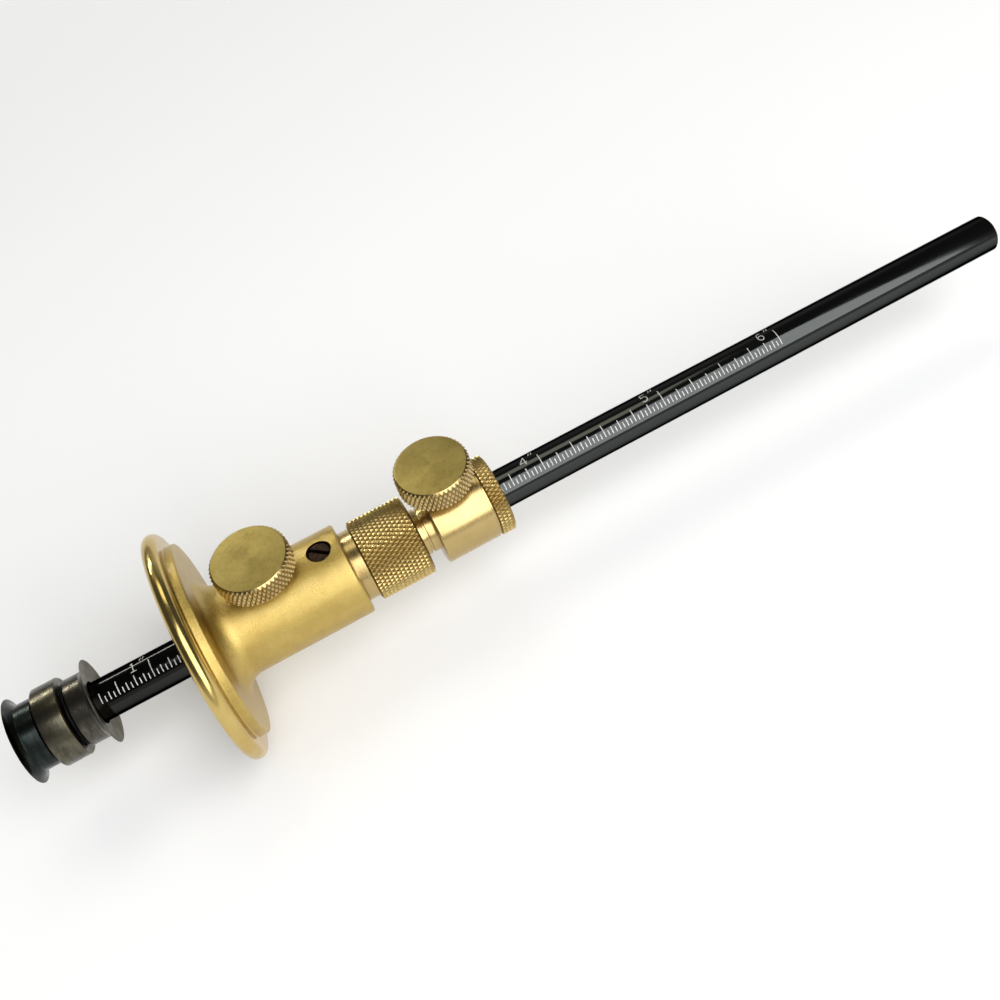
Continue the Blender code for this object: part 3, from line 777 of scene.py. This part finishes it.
def thumb_screw(name, node, body, station, radius, base, height, count, materials):
    """A thumb screw: plain shank, knurled head with a chamfered, faced top."""
    tip = 3.97
    shank_end = base + 0.5
    shank = [
        (tip, 0),
        (tip, SHANK_RADIUS - 0.5),
        (tip + 0.5, SHANK_RADIUS),
        (shank_end, SHANK_RADIUS),
        (shank_end, 0),
    ]
    bm = bmesh.new()
    turn(bm, softened(shank, 0.06), SMALL_SEGMENTS)
    top = base + height
    root = radius - KNURL_DEPTH
    before = [(base, 0), (base, root - 0.35), (base + 0.04, root - 0.25)]
    after = [(top - 0.06, radius - 0.44), (top - 0.015, radius - 0.5), (top, radius - 0.58), (top, 0)]
    knurl(bm, before, base + 0.25, top - 0.5, radius, after, count)

    def zone(level, distance):
        if level > top - 0.02:
            return 2
        if distance > root - 0.3 and level < top - 0.52:
            return 1
        return 0

    finished(name, bm, stood_up(station), body, materials, [node], zone)


# The rule on the rod

TICKS_TO_AN_INCH = 32
FIRST_TICK = 20
LAST_TICK = 192
TICK_LENGTHS = {32: 3.4, 16: 2.47, 8: 2.47, 4: 1.85, 2: 1.39, 1: 1.02}
TICK_BASE = math.radians(42.5)
TICK_WIDTH = 0.18
DIGIT_BASE = 2.5
DIGIT_HEIGHT = 1.95
DIGIT_OFFSET = -2.85
DIGIT_STROKE = 0.17
LIFT = 0.012

# Strokes of the numbers, as (across, up) in shares of a number's height
DIGITS = {
    1: [[(-0.16, 0.8), (0.0, 1.0), (0.0, 0.0)], [(-0.27, 0.0), (0.27, 0.0)]],
    2: [[(-0.28, 0.78), (-0.2, 0.94), (0.0, 1.0), (0.2, 0.94), (0.28, 0.76), (0.2, 0.56), (-0.3, 0.0),
         (0.3, 0.0)]],
    3: [[(-0.28, 0.84), (-0.14, 0.98), (0.08, 1.0), (0.26, 0.88), (0.25, 0.66), (0.08, 0.54),
         (-0.08, 0.54)],
        [(0.08, 0.54), (0.28, 0.42), (0.3, 0.18), (0.14, 0.02), (-0.1, 0.0), (-0.3, 0.14)]],
    4: [[(0.16, 0.0), (0.16, 1.0), (-0.34, 0.3), (0.36, 0.3)]],
    5: [[(0.28, 1.0), (-0.22, 1.0), (-0.26, 0.56), (0.0, 0.64), (0.22, 0.56), (0.3, 0.34), (0.2, 0.08),
         (-0.04, 0.0), (-0.28, 0.1)]],
    6: [[(0.24, 0.94), (0.04, 1.0), (-0.18, 0.88), (-0.29, 0.55), (-0.28, 0.24), (-0.12, 0.02), (0.1, 0.0),
         (0.27, 0.16), (0.27, 0.42), (0.1, 0.58), (-0.12, 0.54), (-0.28, 0.36)]],
}
INCH_MARK = [[(0.72, 0.86), (0.86, 1.22)], [(0.98, 0.86), (1.12, 1.22)]]


def on_surface(station, up):
    """A point just over the rod's surface, so far along it and so far up round it from the ticks' feet."""
    angle = TICK_BASE + up / ROD_RADIUS
    reach = ROD_RADIUS + LIFT
    return (station, -reach * math.cos(angle), reach * math.sin(angle))


def stroke(bm, points, width):
    """A line of even width on the rod's surface, mitred at its corners and split into short steps."""
    longest_step = 0.15
    fine = [points[0]]
    for first, last in zip(points, points[1:]):
        steps = max(1, math.ceil(math.dist(first, last) / longest_step))
        for step in range(1, steps + 1):
            share = step / steps
            fine.append((first[0] + (last[0] - first[0]) * share, first[1] + (last[1] - first[1]) * share))
    rows = []
    for index, point in enumerate(fine):
        ahead = Vector(fine[min(index + 1, len(fine) - 1)]) - Vector(point)
        behind = Vector(point) - Vector(fine[max(index - 1, 0)])
        ahead = ahead.normalized() if ahead.length else behind.normalized()
        behind = behind.normalized() if behind.length else ahead
        along = (ahead + behind).normalized()
        side = Vector((-along.y, along.x)) * width / 2 / max(0.6, along.dot(ahead))
        rows.append([bm.verts.new(on_surface(*(Vector(point) + side * s))) for s in (-1, 1)])
    for before, after in zip(rows, rows[1:]):
        bm.faces.new((before[0], before[1], after[1], after[0]))


def rule(material):
    """The inch rule: thirty-seconds to six inches, with its numbers and inch marks."""
    bm = bmesh.new()
    for count in range(FIRST_TICK, LAST_TICK + 1):
        station = count * INCH / TICKS_TO_AN_INCH
        step = next(size for size in TICK_LENGTHS if count % size == 0)
        stroke(bm, [(station, 0.0), (station, TICK_LENGTHS[step])], TICK_WIDTH)
    for number, strokes in DIGITS.items():
        centre = number * INCH + DIGIT_OFFSET
        for points in strokes + INCH_MARK:
            placed = [(centre + x * DIGIT_HEIGHT, DIGIT_BASE + y * DIGIT_HEIGHT) for x, y in points]
            stroke(bm, placed, DIGIT_STROKE)
    finished("rule_marks", bm, on_rod(), "beam", [material])


# Build

rod(black_steel())
rule(engraving())
outer_steel = tool_steel("outer_cutter_steel", (0.03, 0.036, 0.033), (0.009, 0.014, 0.014), 0.24)
inner_steel = tool_steel("inner_cutter_steel", (0.24, 0.235, 0.2), (0.17, 0.165, 0.14), 0.36)
boss_steel = tool_steel("boss_steel", (0.115, 0.105, 0.086), (0.042, 0.038, 0.031), 0.25)
spacer_steel = tool_steel("spacer_steel", (0.13, 0.12, 0.084), (0.055, 0.05, 0.039), 0.24)
# the shim is near black: painted shade for the narrow gap between the spacer and the inner boss
shim_steel = tool_steel("shim_steel", (0.015, 0.015, 0.015), (0.008, 0.008, 0.008), 0.5)
countersunk_bore = [
    (DISH_DEPTH, 3.2),
    (0.95, 3.2),
    (2.65, SCREW_HOLE_RADIUS),
    (3.1, SCREW_HOLE_RADIUS),
    (3.1, SPIGOT_BORE_RADIUS),
    (WHEEL_DEPTH, SPIGOT_BORE_RADIUS),
]
counterbore = [
    (DISH_DEPTH, 4.0),
    (1.85, 4.0),
    (1.85, SPIGOT_BORE_RADIUS),
    (WHEEL_DEPTH, SPIGOT_BORE_RADIUS),
]
wheel("outer_wheel_ground", "outer_cutter_wheel", 1.1, 1, countersunk_bore,
      [outer_steel, outer_steel])
wheel("inner_wheel_ground", "inner_cutter_wheel", 15.15, -1, counterbore,
      [inner_steel, boss_steel])
spacer(spacer_steel, shim_steel)
cutter_screw_steel = dark_screw("cutter_screw_steel", (0.1, 0.1, 0.095), (0.03, 0.03, 0.03), 0.42)
frame["nodes"]["cutter_screw"].data.materials.clear()
frame["nodes"]["cutter_screw"].data.materials.append(cutter_screw_steel)

satin = satin_brass()
rim_brass = polished_brass("fence_rim_brass", (0.6, 0.45, 0.15), (0.46, 0.31, 0.08), 0.2, 0.006)
turned_brass = polished_brass("turned_brass", (0.49, 0.36, 0.145), (0.43, 0.305, 0.11), 0.25, 0.003)
fence(rim_brass, satin)
keeper_screw(dark_screw("keeper_screw_steel", (0.06, 0.035, 0.022), (0.012, 0.009, 0.008), 0.4))
band_bright = (0.66, 0.51, 0.22)
# the knurl grooves' colour: painted shade with grime
band_groove_shade_and_grime = (0.31, 0.21, 0.065)
band_knurl = knurled_brass("band_knurl_brass", COLLAR_BAND_RADIUS, band_bright, band_groove_shade_and_grime)
thimble_knurl = knurled_brass("thimble_knurl_brass", THIMBLE_RADIUS, band_bright, band_groove_shade_and_grime)
thimble(turned_brass, thimble_knurl)
collar(turned_brass, band_knurl)
for name, node, body, station, radius, base, height, count in (
    ("fence_screw_knurled", "fence_thumb_screw", "fence_screw",
     FENCE_SCREW_STATION, FENCE_SCREW_RADIUS, 11.35, 4.1, 51),
    ("collar_screw_knurled", "collar_thumb_screw", "collar_screw",
     COLLAR_SCREW_STATION, COLLAR_SCREW_RADIUS, 10.75, 4.35, 50),
):
    # the second colour is the knurl grooves' painted shade with grime
    edge_brass = knurled_brass(name + "_edge", radius, (0.64, 0.5, 0.24), (0.28, 0.19, 0.065), station)
    face_brass = faced_brass(name + "_face", station)
    thumb_screw(name, node, body, station, radius, base, height, count,
                [turned_brass, edge_brass, face_brass])


# Floor, backdrop and light

# Sizes and places of the stage are in metres
FLOOR_RADIUS = 3
TENT_RADIUS = 2.5
WORLD_LEVEL = 0.36
LIT_POINT = Vector((-0.03, 0, AXIS_HEIGHT * MM))


def floor():
    """The pale floor, which fades into plain white between two distances in millimetres."""
    fade_start = 180
    fade_end = 620
    sides = 64
    bm = bmesh.new()
    ring = []
    for index in range(sides):
        angle = 2 * math.pi * index / sides
        ring.append(bm.verts.new((FLOOR_RADIUS * math.cos(angle), FLOOR_RADIUS * math.sin(angle), 0)))
    bm.faces.new(ring)
    mesh = bpy.data.meshes.new("floor")
    bm.to_mesh(mesh)
    bm.free()
    piece = bpy.data.objects.new("floor", mesh)
    bpy.context.scene.collection.objects.link(piece)
    f = Finish("floor_white", 0.0, 0.6, (0.93, 0.93, 0.93))
    f.shader.inputs["Specular IOR Level"].default_value = 0.0
    cloud = f.noise(f.place, 0.01)
    f.put(f.shader.inputs["Base Color"], f.mix(cloud, (0.94, 0.94, 0.94), (0.925, 0.925, 0.925)))
    glow = f.node("ShaderNodeEmission")
    glow.inputs["Color"].default_value = (1, 1, 1, 1)
    far = f.vector("LENGTH", f.place)
    joined = f.node("ShaderNodeMixShader")
    f.put(joined.inputs[0], f.span(far, fade_start, fade_end, smooth=True))
    f.put(joined.inputs[1], f.shader.outputs[0])
    f.put(joined.inputs[2], glow.outputs[0])
    f.put(f.tree.nodes["Material Output"].inputs["Surface"], joined.outputs[0])
    mesh.materials.append(f.material)


def world():
    """A world that is white to the camera, in gloss and through glass, and a soft light elsewhere."""
    made = bpy.data.worlds.new("studio")
    made.use_nodes = True
    bpy.context.scene.world = made
    tree = made.node_tree
    background = tree.nodes["Background"]
    path = tree.nodes.new("ShaderNodeLightPath")
    first = tree.nodes.new("ShaderNodeMath")
    first.operation = "MAXIMUM"
    tree.links.new(path.outputs["Is Camera Ray"], first.inputs[0])
    tree.links.new(path.outputs["Is Glossy Ray"], first.inputs[1])
    second = tree.nodes.new("ShaderNodeMath")
    second.operation = "MAXIMUM"
    tree.links.new(first.outputs[0], second.inputs[0])
    tree.links.new(path.outputs["Is Transmission Ray"], second.inputs[1])
    strength = tree.nodes.new("ShaderNodeMapRange")
    tree.links.new(second.outputs[0], strength.inputs["Value"])
    strength.inputs["To Min"].default_value = WORLD_LEVEL
    strength.inputs["To Max"].default_value = 1.0
    tree.links.new(strength.outputs["Result"], background.inputs["Strength"])
    background.inputs["Color"].default_value = (1, 1, 1, 1)


def from_rod(elevation, side, distance):
    """A place seen from the lit point: elevation from the front over the top to the back, side towards +X."""
    up = math.radians(elevation)
    aside = math.radians(side)
    out = Vector((math.sin(aside), -math.cos(aside) * math.cos(up), math.cos(aside) * math.sin(up)))
    return LIT_POINT + out * distance


def lamp(name, at, size, power, colour, diffuse=True):
    """A soft rectangular lamp that faces the lit point."""
    data = bpy.data.lights.new(name, "AREA")
    data.shape = "RECTANGLE"
    data.size, data.size_y = size
    data.energy = power
    data.color = colour
    made = bpy.data.objects.new(name, data)
    bpy.context.scene.collection.objects.link(made)
    made.location = at
    made.rotation_mode = "QUATERNION"
    made.rotation_quaternion = (LIT_POINT - at).to_track_quat("-Z", "Y")
    made.visible_diffuse = diffuse


def tent():
    """A dim tent that only reflections see, as the dark room round a lit table.

    It is brightest low down behind and to the right, with a pale foot in front and to the left.
    """
    bm = bmesh.new()
    bmesh.ops.create_uvsphere(bm, u_segments=48, v_segments=24, radius=TENT_RADIUS)
    gone = [vertex for vertex in bm.verts if vertex.co.z < -0.02]
    bmesh.ops.delete(bm, geom=gone, context="VERTS")
    mesh = bpy.data.meshes.new("tent")
    bm.to_mesh(mesh)
    bm.free()
    made = bpy.data.objects.new("tent", mesh)
    bpy.context.scene.collection.objects.link(made)
    f = Finish("tent_grey", 0.0, 0.9, (0.02, 0.02, 0.02))
    parts = f.node("ShaderNodeSeparateXYZ")
    f.put(parts.inputs[0], f.vector("NORMALIZE", f.place))
    rightward = f.span(parts.outputs["X"], -0.25, 0.5, 0.12, 1.0, smooth=True)
    behind = f.span(parts.outputs["Y"], 0.45, 0.95, 0.0, 1.0, smooth=True)
    low = f.span(parts.outputs["Z"], 0.2, 0.75, 1.0, 0.15, smooth=True)
    level = f.maths("MULTIPLY", f.maths("MULTIPLY", behind, low), rightward)
    leftward = f.span(parts.outputs["X"], -0.85, -0.35, 0.8, 0.0, smooth=True)
    horizon = f.span(parts.outputs["Z"], 0.06, 0.26, 1.0, 0.0, smooth=True)
    level = f.maths("MAXIMUM", level, f.maths("MULTIPLY", leftward, horizon))
    frontward = f.span(parts.outputs["Y"], -0.9, -0.5, 1.0, 0.0, smooth=True)
    foot = f.span(parts.outputs["Z"], 0.24, 0.44, 1.0, 0.0, smooth=True)
    level = f.maths("MAXIMUM", level, f.maths("MULTIPLY", frontward, foot))
    glow = f.node("ShaderNodeEmission")
    glow.inputs["Color"].default_value = (1.0, 0.98, 0.94, 1)
    f.put(glow.inputs["Strength"], f.maths("ADD", f.maths("MULTIPLY", level, 0.5), 0.08))
    f.put(f.tree.nodes["Material Output"].inputs["Surface"], glow.outputs[0])
    mesh.materials.append(f.material)
    made.visible_camera = False
    made.visible_diffuse = False
    made.visible_shadow = False


floor()
world()
tent()
lamp("key_softbox", from_rod(46, 14, 0.9), (0.84, 1.04), 10.3, (0.985, 0.99, 1.0))
lamp("back_strip", from_rod(115, 5, 0.95), (0.52, 0.36), 1.2, (1.0, 0.96, 0.78))
lamp("edge_strip", from_rod(150, -14, 1.0), (0.5, 0.045), 2.6, (1.0, 0.97, 0.86), False)

# The photograph's view: the camera's place in millimetres from the rule's zero on the rod's axis,
# and the directions that point right, down and away in its picture

CAMERA_PLACE = (65.140, -138.725, 175.004)
RIGHT = (0.875202, -0.444084, -0.191861)
DOWN = (-0.455118, -0.621426, -0.637728)
AWAY = (0.163977, 0.645461, -0.745984)

camera_data = bpy.data.cameras.new("camera")
camera = bpy.data.objects.new("camera", camera_data)
bpy.context.scene.collection.objects.link(camera)
bpy.context.scene.camera = camera
camera_data.sensor_width = 36
camera_data.lens = 44.418
camera_data.shift_x = -0.02
camera_data.shift_y = -0.08
camera_data.clip_start = 0.01
camera_data.clip_end = 50
camera.matrix_world = Matrix((
    (RIGHT[0], -DOWN[0], -AWAY[0], (CAMERA_PLACE[0] - MIDDLE_STATION) * MM),
    (RIGHT[1], -DOWN[1], -AWAY[1], CAMERA_PLACE[1] * MM),
    (RIGHT[2], -DOWN[2], -AWAY[2], (CAMERA_PLACE[2] + AXIS_HEIGHT) * MM),
    (0, 0, 0, 1),
))

bpy.context.scene.view_settings.view_transform = "Standard"
